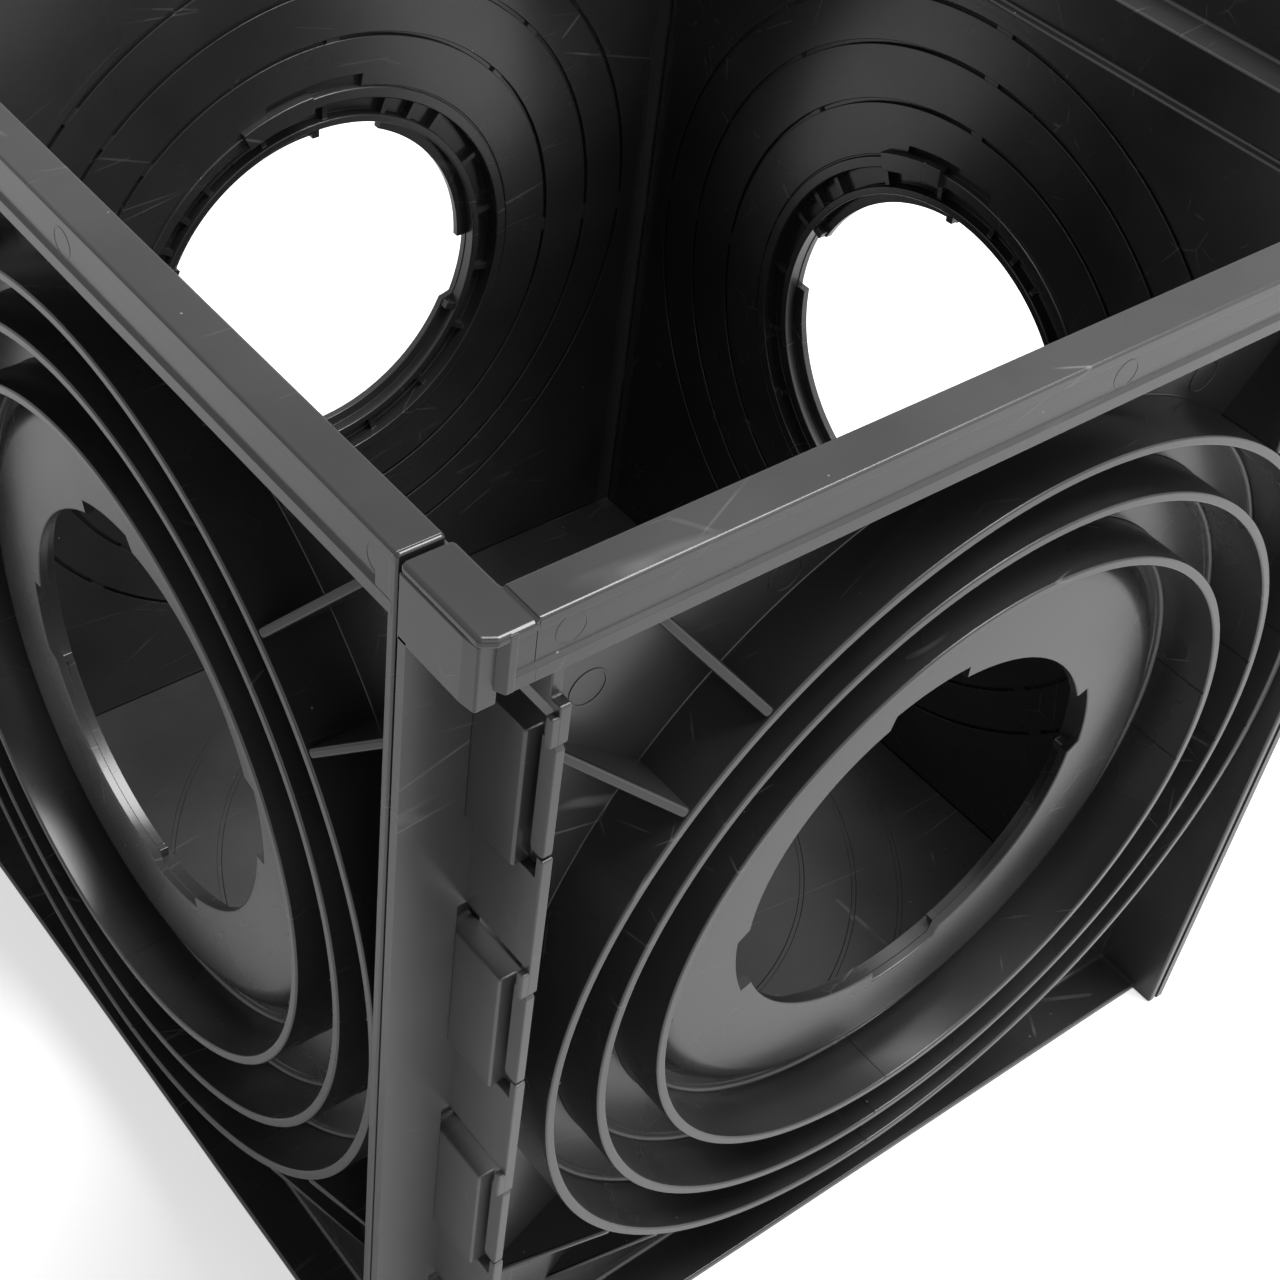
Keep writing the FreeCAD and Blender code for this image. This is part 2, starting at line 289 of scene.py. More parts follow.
    def mesh(self, name: str, turn: float, centre: float) -> bpy.types.Mesh:
        """Make the mesh in metres, moved from the wall's frame to its place in the box.

        Args:
            name: Name of the mesh.
            turn: Turn of the wall about the middle of the box, in degrees.
            centre: Middle of the box in the wall's frame, along u and d.

        Returns:
            Mesh with its own normals, faces outward.
        """
        angle = math.radians(turn)
        cos, sin = math.cos(angle), math.sin(angle)
        spin = np.array([[cos, sin, 0.0], [-sin, cos, 0.0], [0.0, 0.0, 1.0]])
        spots = (np.concatenate(self.spots) - [centre, centre, 0.0]) @ spin * MM
        lean = unit(np.concatenate(self.normals)) @ spin
        quads = np.concatenate(self.quads)
        corner = spots[quads]
        face = unit(np.cross(corner[:, 2] - corner[:, 0], corner[:, 3] - corner[:, 1]))
        split = lean[quads]
        steep = (split * face[:, None]).sum(axis=-1).min(axis=1) < self.STEEP
        split[steep] = face[steep][:, None]
        lids = [np.broadcast_to(normal @ spin, (len(ring), 3)) for ring, normal in self.lids]
        mesh = bpy.data.meshes.new(name)
        mesh.from_pydata(spots, [], quads.tolist() + [ring.tolist() for ring, _ in self.lids])
        mesh.shade_smooth()
        mesh.normals_split_custom_set(np.concatenate([split.reshape(-1, 3), *lids]))
        mesh.update()
        return mesh


def put(name: str, data: bpy.types.ID) -> bpy.types.Object:
    """Make an object and link it into the scene."""
    thing = bpy.data.objects.new(name, data)
    bpy.context.scene.collection.objects.link(thing)
    return thing


# ---------------- finishes


class Graph:
    """Short way to write down the nodes of a material or of the world."""

    def __init__(self, owner: bpy.types.Material | bpy.types.World) -> None:
        """Start with an empty node tree."""
        owner.use_nodes = True
        self.tree = owner.node_tree
        self.tree.nodes.clear()

    def add(self, kind: str, inputs: dict | None = None, **settings: object) -> bpy.types.Node:
        """Add a node, with its settings and what its sockets hold or are linked to.

        Args:
            kind: Node type without its ShaderNode prefix.
            inputs: Socket by name or number, to a value or to another node's output.
            **settings: Properties of the node.

        Returns:
            The new node.
        """
        node = self.tree.nodes.new("ShaderNode" + kind)
        for key, value in settings.items():
            setattr(node, key, value)
        for key, value in (inputs or {}).items():
            if isinstance(value, Socket):
                self.tree.links.new(value, node.inputs[key])
            else:
                node.inputs[key].default_value = value
        return node

    def ramp(
        self, value: Socket, low: float, high: float, end: float = 1.0, start: float = 0.0
    ) -> Socket:
        """Map a value from low..high to start..end, held at both ends."""
        inputs = {"Value": value, "From Min": low, "From Max": high, "To Min": start, "To Max": end}
        return self.add("MapRange", inputs, clamp=True).outputs["Result"]

    def noise(self, spot: Socket, scale: float, detail: float = 2.0) -> Socket:
        """Cloudy pattern from 0 to 1."""
        inputs = {"Vector": spot, "Scale": scale, "Detail": detail}
        return self.add("TexNoise", inputs).outputs["Fac"]

    def math(self, kind: str, first: object, second: object) -> Socket:
        """Join two values with one operation."""
        return self.add("Math", {0: first, 1: second}, operation=kind).outputs[0]

    def mix(self, share: object, first: object, second: object) -> Socket:
        """Blend two colours by a share."""
        inputs = {0: share, 6: first, 7: second}
        return self.add("Mix", inputs, data_type="RGBA").outputs[2]


@dataclass(frozen=True)
class BlackPolypropylene:
    """Satin black moulded plastic, with fine scratches, scuffs, a little dust, and painted light on
    the lower outer corners.
    """

    name: str
    deep: Colour = (0.013, 0.013, 0.014, 1.0)
    pale: Colour = (0.027, 0.027, 0.028, 1.0)
    scuff: Colour = (0.12, 0.12, 0.12, 1.0)
    # painted light: pale tone laid on the lower outer corners, with painted shade left higher up
    # under the corner block
    painted_corner_light: Colour = (0.065, 0.065, 0.065, 1.0)
    dust: Colour = (0.20, 0.20, 0.19, 1.0)
    smooth: float = 0.20
    rough: float = 0.32
    scratch_and_light_rough: float = 0.2
    # reach from the corners and height band of the painted corner light, in metres
    corner_light_near: Pair = (0.124, 0.134)
    corner_light_high: Pair = (0.315, 0.225)

    def material(self) -> bpy.types.Material:
        """Lay the pattern out on Object coordinates.

        Returns:
            The finished material.
        """
        material = bpy.data.materials.new(self.name)
        graph = Graph(material)
        spot = graph.add("TexCoord").outputs["Object"]
        cloud = graph.noise(spot, 14.0, 5.0)
        sway = graph.noise(spot, 14.0, 1.0)
        grain = graph.noise(spot, 900.0, 3.0)
        scratch = self.scratches(graph, spot, cloud)
        specks = self.specks(graph, spot)
        colour = graph.mix(graph.ramp(cloud, 0.35, 0.7), self.deep, self.pale)
        # painted light and shade: the outer corners paler towards the ground, darker higher up
        # under the corner block
        corner_light_share = self.painted_corner_mask(graph, spot, cloud)
        colour = graph.mix(corner_light_share, colour, self.painted_corner_light)
        colour = graph.mix(scratch, colour, self.scuff)
        colour = graph.mix(specks, colour, self.dust)
        rough = graph.ramp(cloud, 0.3, 0.7, self.rough, self.smooth)
        # roughness raised where the scratches and the painted corner light lie
        gain = graph.math("MULTIPLY", graph.math("MAXIMUM", scratch, corner_light_share), self.scratch_and_light_rough)
        fine = graph.add("Bump", {"Height": grain, "Strength": 0.008, "Distance": 0.0006})
        broad = {"Height": sway, "Strength": 0.25, "Distance": 0.002, "Normal": fine.outputs[0]}
        inputs = {
            "Base Color": colour, "Roughness": graph.math("ADD", rough, gain),
            "Normal": graph.add("Bump", broad).outputs[0], "IOR": 1.49, "Specular IOR Level": 0.5,
        }
        shader = graph.add("BsdfPrincipled", inputs)
        graph.add("OutputMaterial", {"Surface": shader.outputs[0]})
        return material

    def scratches(self, graph: Graph, spot: Socket, cloud: Socket) -> Socket:
        """Hairlines: the edges of long stretched cells, seen in a few patches only.

        Args:
            graph: Material that is being written.
            spot: Object coordinates.
            cloud: Cloudy pattern.

        Returns:
            Strength of the scratches.
        """
        total: Socket | float = 0.0
        for turn in ((0.3, 0.2, 0.4), (1.1, 0.7, -0.5), (-0.6, 1.3, 0.9)):
            lay = {"Vector": spot, "Rotation": turn, "Scale": (9.0, 30.0, 30.0)}
            laid = {"Vector": graph.add("Mapping", lay).outputs[0], "Scale": 1.0}
            cells = graph.add("TexVoronoi", laid, feature="DISTANCE_TO_EDGE")
            patch = graph.noise(laid["Vector"], 2.6)
            edge = graph.ramp(cells.outputs["Distance"], 0.006, 0.002, 0.55)
            line = graph.math("MULTIPLY", edge, graph.ramp(patch, 0.55, 0.68))
            total = graph.math("ADD", line, total)
        return graph.math("MULTIPLY", total, graph.ramp(cloud, 0.40, 0.55))

    def painted_corner_mask(self, graph: Graph, spot: Socket, cloud: Socket) -> Socket:
        """Painted light and shade at the four outer corners: paler towards the ground, darker
        higher up where the corner block shades them.
        """
        parts = graph.add("SeparateXYZ", {0: spot}).outputs
        far = [graph.math("ABSOLUTE", parts[axis], 0.0) for axis in "XY"]
        corner = graph.ramp(graph.math("MINIMUM", *far), *self.corner_light_near)
        height = graph.math("ADD", parts["Z"], graph.math("MULTIPLY", cloud, 0.14))
        return graph.math("MULTIPLY", corner, graph.ramp(height, *self.corner_light_high, 0.85))

    def specks(self, graph: Graph, spot: Socket) -> Socket:
        """Grains of dust, mostly on faces that look up."""
        cells = graph.add("TexVoronoi", {"Vector": spot, "Scale": 420.0})
        grain = graph.ramp(cells.outputs["Distance"], 0.14, 0.05)
        pick = graph.add("SeparateColor", {"Color": cells.outputs["Color"]})
        normal = graph.add("NewGeometry").outputs["Normal"]
        facing = graph.add("SeparateXYZ", {0: normal}).outputs["Z"]
        share = graph.ramp(facing, 0.0, 1.0, 0.012)
        chosen = graph.math("LESS_THAN", pick.outputs[0], graph.math("ADD", share, 0.003))
        return graph.math("MULTIPLY", grain, chosen)


# ---------------- mouldings


class Place(Enum):
    """Side of the box a wall stands on, by the turn of its frame in degrees."""

    FRONT = 0.0
    LEFT = -90.0
    BACK = 180.0
    RIGHT = 90.0

    @property
    def node(self) -> str:
        """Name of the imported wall."""
        return "wall_" + self.name.lower()


@dataclass
class Moulding:
    """What walls and floor share: sizes of the box and the finish."""

    finish: bpy.types.Material
    box_side: float = 308.0
    skin: float = 2.6
    plate_set: float = 21.0

    @property
    def middle(self) -> float:
        """Middle of the box along a wall."""
        return self.box_side / 2

    @property
    def inner(self) -> float:
        """Inner face of the plate."""
        return self.plate_set + self.skin

    def dress(self, skin: Skin, name: str, turn: float, node: str, slot: str) -> bpy.types.Object:
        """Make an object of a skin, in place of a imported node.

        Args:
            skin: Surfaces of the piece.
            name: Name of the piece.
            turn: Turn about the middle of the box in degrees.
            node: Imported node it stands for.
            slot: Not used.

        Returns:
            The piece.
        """
        piece = put(name, skin.mesh(name, turn, self.middle))
        piece.data.materials.append(self.finish)
        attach(piece, "root")
        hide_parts(node)
        log.info("%s: %d faces", name, len(piece.data.polygons))
        return piece


@dataclass
class Wall(Moulding):
    """One wall: plate, foot, stepped rim, corner block, clips and pipe end."""

    place: Place = Place.FRONT
    box_high: float = 301.0
    end_gap: float = 1.0
    foot_set: float = 6.8
    foot_lap: float = 7.0
    jog: float = 268.0
    shelf: float = 284.4
    rim_low: float = 286.5
    rim_deep: float = 10.0
    lip_high: float = 3.3
    brow_high: float = 2.5
    web_set: float = 0.8
    web_end: float = 6.5
    web_slope: float = 0.7
    post_set: float = 17.5
    post_top: float = 277.0
    post_cut: float = 3.0
    corner_wide: float = 11.0
    corner_top: float = 300.3
    corner_nick: float = 3.0
    corner_bite: float = 1.9
    corner_core: float = 9.0
    corner_lap: float = 4.0
    band_set: float = 3.4
    band_deep: float = 4.0
    tray_set: float = 7.0
    axis_high: float = 143.5
    collar_set: float = 4.0
    collar_large: float = 123.0
    steep_angle: float = 51.0
    flat_angle: float = 39.0
    gusset_wall: float = 2.4
    gusset_edge: float = 0.8
    gusset_reach: float = 34.0
    upper_reach: float = 43.5
    clip_low: float = 18.9
    clip_pitch: float = 70.7
    clip_count: int = 4
    clip_high: float = 36.2
    slot_high: float = 44.0
    slot_play: float = 0.2
    strip: float = 2.0
    finger_out: float = 2.0
    finger_back: float = 1.0
    groove_near: float = 4.4
    groove_far: float = 6.1
    groove_deep: float = 4.3
    hook_low: float = 6.0
    hook_bevel: float = 1.5
    stop_wide: float = 1.6
    ledge_end: float = 40.0
    ledge_wide: float = 6.0
    ledge_wall: float = 2.0
    sunk: float = 0.05
    first_rib: float = 3.0
    back_ribs: float = 11.0
    pin_marks: tuple[Spot, ...] = (
        (42.6, 250.8, 4.4), (91.3, 256.3, 4.2), (216.9, 256.2, 4.2), (265.4, 250.8, 4.4),
        (18.5, 294.6, 3.2), (276.6, 294.7, 3.2),
    )
    web_pin: float = 153.5
    left_pin: float = 165.7
    pin_high: float = 293.9
    pin_radius: float = 3.2
    pin_deep: float = 0.4
    web_mark: Pair = (0.08, 0.2)
    plate_mark: Pair = (0.2, 0.3)

    @property
    def bar_low(self) -> float:
        """Height at which the plate runs into the bar of the rim."""
        return self.jog - 2.0

    @property
    def run_end(self) -> float:
        """Right end of the wall."""
        return self.box_side - self.inner - self.end_gap

    @property
    def axis(self) -> Lie:
        """Axis of the pipe, pointing inward, with u and z across it."""
        return Lie((self.middle, 0, self.axis_high), (1, 0, 0), (0, 0, 1), (0, 1, 0))

    def build(self) -> list[bpy.types.Object]:
        """Build the wall and put it in place.

        Returns:
            The pieces of the wall.
        """
        name = self.place.name.lower()
        shell = Skin()
        self.plate(shell)
        self.rim(shell)
        self.post(shell)
        self.corner(shell)
        self.clips(shell)
        self.gussets(shell)
        self.marks(shell)
        mouth = Skin()
        ribs = self.back_ribs if self.place is Place.BACK else self.first_rib
        PipeEnd(quarter=self.place is not Place.FRONT, rib_first=ribs).build(mouth, self.axis)
        return [
            self.dress(shell, name + "_wall_shell", self.place.value, self.place.node, "wall"),
            self.dress(mouth, name + "_wall_pipe_end", self.place.value, self.place.node, "wall"),
        ]

    def plate(self, skin: Skin) -> None:
        """Flat plate round the collars, foot flange and floor ledge."""
        left = self.post_set + self.skin + self.finger_back + self.slot_play
        sides = (
            self.run_end - self.skin / 2 - self.middle, self.bar_low - self.axis_high,
            left - self.middle, self.sunk - self.axis_high,
        )
        faces, hidden = (self.plate_set, self.inner), self.collar_large - self.skin / 2
        skin.panel(self.axis, sides, hidden, faces, (0.3, 0.02, 0.02, 0.3))
        back, lap = self.inner - self.sunk, self.foot_lap
        foot = [
            (self.foot_set, 0.0, 0.5), (back, 0.0), (back, lap), (self.plate_set + self.sunk, lap),
            (self.plate_set, self.skin, 1.4), (self.foot_set, self.skin, 0.5),
        ]
        skin.prism(SIDE, foot, self.post_set + 1.0, self.run_end - 1.0)
        run = (self.ledge_end, self.box_side - self.ledge_end)
        ledge = (self.plate_set + 1.0, self.inner + self.ledge_wide)
        skin.box(run, ledge, (self.sunk, self.ledge_wall), 0.3)

    def rim(self, skin: Skin) -> None:
        """Bar of rim, shelf and step along the top, open below, with the end of its web filled."""
        top, back, plate, thick = self.box_high, self.rim_deep, self.plate_set, self.skin
        low, web, slope, sunk = self.rim_low, self.web_set, self.web_slope, self.sunk
        lip, brow = low + self.lip_high, top - self.brow_high
        under, step, lap = self.shelf - thick, self.jog - thick, self.bar_low - 3.0
        section = [
            (self.inner - sunk, lap, 0.2), (self.inner, self.bar_low, 0.2),
            (self.inner, self.jog, 0.8), (plate, self.jog, 0.8), (plate, self.shelf, 0.8),
            (back, self.shelf, 1.0), (back, top, 0.7), (0.0, top, 0.7), (0.0, brow, 0.25),
            (web, brow - slope, 0.25), (web, lip + slope, 0.25), (0.0, lip, 0.25),
            (0.0, low, 0.4), (thick, low, 0.4), (thick, top - thick, 0.5),
            (back - thick, top - thick, 0.5), (back - thick, under, 0.4),
            (plate - thick, under, 0.5), (plate - thick, step, 0.4), (plate, step, 0.6),
            (plate + sunk, lap, 0.2),
        ]
        skin.prism(SIDE, section, self.corner_wide, self.run_end - 0.8, 0.2)
        end = (self.run_end - self.web_end, self.run_end - 1.0)
        skin.box(end, (sunk * 2, thick), (low + sunk, top - 1.0), 0.3)

    def slots(self) -> list[Pair]:
        """Lower and upper end of each slot."""
        lows = [self.clip_low + step * self.clip_pitch for step in range(self.clip_count)]
        return [(low, low + self.slot_high) for low in lows]

    def post(self, skin: Skin) -> None:
        """Post with its open slots, the plate left of it and the flange at the right end."""
        deep, top, play = self.inner - 0.3, self.shelf - 0.3, self.slot_play
        lower: list[tuple[float, ...]] = [(deep, 0.0), (0.0, 0.0, 0.5)]
        for low, high in self.slots():
            bottom, upper = low + self.hook_low - play, low + self.clip_high + play
            block = lower + [(0.0, bottom), (self.strip, bottom), (self.strip, low), (deep, low)]
            skin.prism(SIDE, block, self.post_set, self.post_set + self.skin, 0.35)
            lower = [(deep, high), (self.strip, high), (self.strip, upper), (0.0, upper)]
            stop = (self.post_set - self.stop_wide, self.post_set + 1.0)
            skin.box(stop, (self.sunk, self.strip - self.sunk), (upper, high - 0.3))
        peak, cut = self.post_top, self.post_cut
        block = lower + [(0.0, peak, 0.6), (cut, peak, 0.6), (cut, top), (deep, top)]
        skin.prism(SIDE, block, self.post_set, self.post_set + self.skin, 0.35)
        near = self.post_set - self.finger_out - self.sunk
        far = self.post_set + self.skin + self.finger_back + self.slot_play + 1.0
        comb: list[tuple[float, ...]] = [(0.0, 0.0), (0.0, far)]
        for low, high in self.slots():
            comb += [(low, far), (low, near), (high, near), (high, far)]
        comb += [(top, far), (top, 0.0)]
        skin.prism(FRONT, comb, self.plate_set + self.sunk, self.inner - self.sunk, 0.1)
        sunk, jog, plate = self.sunk, self.jog - 0.4, self.plate_set - 0.4
        back, peak = self.rim_deep - sunk, self.box_high - sunk
        flange = [
            (sunk, 0.0, 0.8), (deep, 0.0), (deep, jog), (plate, jog), (plate, top), (back, top),
            (back, peak, 0.9), (sunk, peak, 0.9),
        ]
        skin.prism(SIDE, flange, self.run_end - self.skin, self.run_end, 0.7)

    def corner(self, skin: Skin) -> None:
        """Block that carries the rim round the corner: core, band across its front, rounded cap."""
        low, top, sunk = self.shelf - self.skin + 1.1, self.corner_top, self.sunk
        deep, inset = self.inner + self.end_gap / 2, self.corner_bite + 0.2
        right, wide, back = self.post_set + 1.0, self.corner_wide, self.rim_deep - 0.2
        start = self.corner_nick + 1.6
        near, mid, behind = start + 0.6, self.corner_core, self.band_set
        core = [
            (0.0, deep), (0.0, 5.8, 3.0), (0.55, inset, 0.6), (near, inset), (near, mid),
            (wide, mid), (wide, deep),
        ]
        skin.prism(PLAN, core, low, top - 2.3, 0.45)
        skin.box((start, right), (behind, back), (self.rim_low, top - 1.0))
        reach = wide + self.corner_lap
        cap = [
            (self.corner_nick, 0.1), (reach, 0.1), (reach, back), (wide, back), (wide, deep),
            (0.0, deep), (0.0, self.corner_bite),
        ]
        skin.prism(PLAN, cap, top - 2.5, top, 1.0)
        foot, web, slope = self.rim_low + sunk, self.web_set, self.web_slope
        lip, brow = self.rim_low + self.lip_high, self.box_high - self.brow_high
        band = [
            (sunk, foot), (sunk, lip), (web, lip + slope), (web, brow - slope), (sunk, brow),
            (sunk, top - 0.1, 0.7), (self.band_deep, top - 0.1), (self.band_deep, foot),
        ]
        skin.prism(SIDE, band, start + 0.7, wide + 0.6, 0.25)
        end, edge = self.web_end + 0.6, start - 0.5
        slant = [(edge, behind), (edge, inset), (near, 0.0, 0.5), (end, 0.0), (end, behind)]
        skin.prism(PLAN, slant, self.rim_low, top - 0.4, 0.3)
        ramp = [
            (top - 0.6, wide - 0.7), (top - 0.1, wide - 0.7), (self.box_high - sunk, wide + 0.3),
            (top - 0.6, wide + 2.0),
        ]
        skin.prism(FRONT, ramp, 0.15, back - 0.1, 0.05)
        near, far = self.tray_set, self.inner - 0.2
        tray = [(start, near), (right, near), (right, far), (0.4, far), (0.4, near)]
        skin.prism(PLAN, tray, low + 0.1, self.shelf - 0.2, 0.3)

    def clips(self, skin: Skin) -> None:
        """Fingers of the right end, each with a groove and a round-ended hook at its tip."""
        face = self.post_set - self.finger_out
        back = self.post_set + self.skin + self.finger_back
        tip = self.box_side - self.strip - self.slot_play
        far, near = self.box_side - self.groove_far, self.box_side - self.groove_near
        finger = [
            (self.run_end - 1.0, face), (far, face, 0.6), (far, face + self.groove_deep),
            (tip, face + self.groove_deep), (tip, back), (self.run_end - 1.0, back),
        ]
        play = self.slot_play
        end = self.box_side - play
        front, rear = self.post_set + play, self.post_set + self.skin - play
        for low, _ in self.slots():
            bottom, upper = low + self.hook_low, low + self.clip_high - self.sunk
            skin.prism(PLAN, finger, low, low + self.clip_high, 0.5)
            hook = [
                (bottom, near, 1.6), (bottom, end, 1.2), (upper - self.hook_bevel, end, 0.3),
                (upper, end - self.hook_bevel, 0.3), (upper, near),
            ]
            skin.prism(FRONT, hook, front, rear, 0.3)

    def gussets(self, skin: Skin) -> None:
        """Ribs that fall from the large collar to the plate, some cut off by rim or flange."""
        half, wall = self.skin / 2, self.gusset_wall / 2
        root, under = self.collar_large - 0.4, self.plate_set + half
        front = self.collar_set + self.sunk
        steep, flat = math.radians(self.steep_angle), math.radians(self.flat_angle)
        upper, lower = self.collar_large + self.upper_reach, self.collar_large + self.gusset_reach
        jog = (self.jog - half - self.axis_high) / math.sin(steep)
        end = (self.run_end - half - self.middle) / math.cos(flat)
        ribs = [
            (math.pi - steep, upper, jog), (steep, upper, jog),
            (math.pi - flat, upper, upper), (flat, upper, end),
        ]
        turns = (math.pi + flat, math.pi + steep, -steep, -flat)
        ribs += [(angle, lower, lower) for angle in turns]
        for angle, reach, stop in ribs:
            cut = front + (stop - root) / (reach - root) * (self.plate_set - front)
            cos, sin = math.cos(angle), math.sin(angle)
            lie = Lie((self.middle, 0, self.axis_high), (cos, 0, sin), (0, 1, 0), (-sin, 0, cos))
            rib = [(root, front), (stop, cut), (stop, under), (root, under)]
            skin.prism(lie, rib, -wall, wall, self.gusset_edge)

    def marks(self, skin: Skin) -> None:
        """Fine rings that the ejector pins leave on the plate and on the web of the rim."""
        at = self.left_pin if self.place is Place.LEFT else self.web_pin
        for u, z, radius in (*self.pin_marks, (at, self.pin_high, self.pin_radius)):
            on_web = z > self.rim_low
            face = self.web_set if on_web else self.plate_set
            high, wide = self.web_mark if on_web else self.plate_mark
            near, far, deep = radius - wide, radius + wide, self.pin_deep
            lie = Lie((u, face, z), (1, 0, 0), (0, 0, 1), (0, 1, 0))
            ridge = [(-high, far), (-high, near), (deep, near), (deep, far)]
            skin.ring(lie, [(*corner, 0.1) for corner in ridge])


class Change(Enum):
    """What alters the section of a pipe end along its turn."""

    NOTCH = "front lip cut back"
    RIB = "rib across the channel"
    RECESS = "seam of the ring widened"
    BRIDGE = "break lines made shallow"


@dataclass
class PipeEnd:
    """Three collars, the boss with the notched hole, and the break lines and channel behind.

    The section through the axis is one closed outline of depth and radius.  Four things change
    it along the turn: notches in the front lip, ribs across the channel behind the boss, a
    recess beside the ring round that channel, and bridges across the break lines.  The outline
    is rounded once for each of these, always with the same number of points, and at each angle
    the change to the plain outline is added in the share that holds there.
    """

    quarter: bool = False
    plate: float = 21.0
    back: float = 23.6
    wall: float = 2.6
    front: float = 4.0
    sunk: float = 0.05
    collars: tuple[float, ...] = (123.0, 108.6, 91.4)
    creases: tuple[float, ...] = (118.4, 103.4, 86.4)
    crease_deep: float = 0.3
    foot_round: float = 0.3
    boss: float = 16.0
    boss_shoulder: float = 81.2
    boss_foot: float = 84.2
    boss_round: float = 8.5
    lip: float = 54.4
    notch: float = 57.7
    sleeve: float = 58.0
    sleeve_end: float = 22.4
    channel: Pair = (60.4, 66.5)
    ring_far: float = 70.0
    ring_high: float = 0.5
    seam: Pair = (0.5, 0.4)
    recess_far: float = 74.2
    recess_deep: float = 2.0
    rib_floor: float = 21.2
    groove_deep: float = 1.4
    groove_wide: float = 1.3
    bridge_deep: float = 0.25
    notch_first: float = -1.0
    notch_wide: float = 25.0
    notch_ramp: float = 2.6
    sharp: float = 0.12
    nub_off: float = 1.0
    nub_half: float = 1.3
    nub_deep: Pair = (1.4, 5.2)
    rib_first: float = 3.0
    rib_pitch: float = 20.0
    rib_between: tuple[float, ...] = (30.0, 110.0)
    rib_wide: float = 1.8
    recess_at: Pair = (73.0, 100.0)
    recess_ramp: float = 1.0
    block_at: Pair = (66.0, 85.5)
    block_radii: Pair = (66.2, 71.8)
    block_high: float = 2.2
    bridge_first: float = 1.5
    bridge_pitch: float = 45.0
    bridge_wide: float = 3.0
    witness_at: tuple[float, ...] = (8.0, -8.0, -89.0, 177.0)
    witness_wide: float = 0.3
    witness_high: float = 0.2
    witness_edge: float = 0.02

    def outline(self, change: Change | None) -> Array:
        """Outline with one change or none.

        Args:
            change: What is changed, if anything.

        Returns:
            Depth, radius and corner radius of each corner, front first.
        """
        half, dent, foot = self.groove_wide / 2, self.plate + self.crease_deep, self.collars[0]
        corners: list[Spot] = [(self.plate + self.sunk, foot + 1.6, 0.05)]
        for collar, crease in zip(self.collars, self.creases):
            inside, near, far = collar - self.wall, crease - half, crease + half
            corners += [
                (self.plate, collar, self.foot_round), (self.front, collar, 0.6),
                (self.front, inside, 0.6), (self.plate, inside, 1.3), (self.plate, far, 0.1),
                (dent, far - 0.2, 0.1), (dent, near + 0.2, 0.1), (self.plate, near, 0.1),
            ]
        recess, under = change is Change.RECESS, self.boss + self.wall
        lip = self.notch if change is Change.NOTCH else self.lip
        floor = self.rib_floor if change is Change.RIB else under
        (inner, outer), top = self.channel, self.back + self.ring_high
        far = self.recess_far if recess else self.ring_far + self.seam[0]
        dip = self.back - (self.recess_deep if recess else self.seam[1])
        corners += [
            (self.plate, self.boss_foot, 0.5), (self.boss, self.boss_shoulder, self.boss_round),
            (self.boss, lip, 0.5), (under, lip, 0.3), (under, self.sleeve, 0.1),
            (self.sleeve_end, self.sleeve, 0.4), (self.sleeve_end, inner, 0.4),
            (floor, inner, 0.3), (floor, outer, 0.3), (top, outer, 0.4), (top, self.ring_far, 0.4),
            (dip, self.ring_far, 0.1), (dip, far, 0.1), (self.back, far, 0.2),
        ]
        deep = self.back - (self.bridge_deep if change is Change.BRIDGE else self.groove_deep)
        for crease in self.creases[::-1]:
            near, far = crease - half, crease + half
            corners += [
                (self.back, near, 0.12), (deep, near, 0.1), (deep, far, 0.1),
                (self.back, far, 0.25),
            ]
        corners += [(self.back, foot - 1.5, 0.05), (self.back - self.sunk, foot - 0.4, 0.05)]
        return np.array(corners)

    def stretches(self) -> dict[Change, Array]:
        """Where each change holds.

        Returns:
            Start, end, rise and fall of every stretch of each change, in degrees.
        """
        sharp, ramp, notches = self.sharp, self.notch_ramp, []
        for number in range(4):
            low = number * 90.0 + self.notch_first
            ends = (sharp, ramp) if (number % 2 == 1) != self.quarter else (ramp, sharp)
            notches.append((low, low + self.notch_wide, *ends))
        ribs = [*np.arange(0.0, 360.0, self.rib_pitch), *self.rib_between]
        bridges = np.arange(self.bridge_first, self.bridge_first + 360.0, self.bridge_pitch)
        return {
            Change.NOTCH: np.array(notches),
            Change.RIB: self.across(np.array(ribs) + self.rib_first, self.rib_wide),
            Change.RECESS: np.array([(*self.recess_at, self.recess_ramp, sharp)]),
            Change.BRIDGE: self.across(bridges, self.bridge_wide),
        }

    def across(self, places: Array, wide: float) -> Array:
        """Sharp stretches of one width at some angles."""
        ends = np.full_like(places, self.sharp)
        return np.stack([places - wide / 2, places + wide / 2, ends, ends], axis=1)

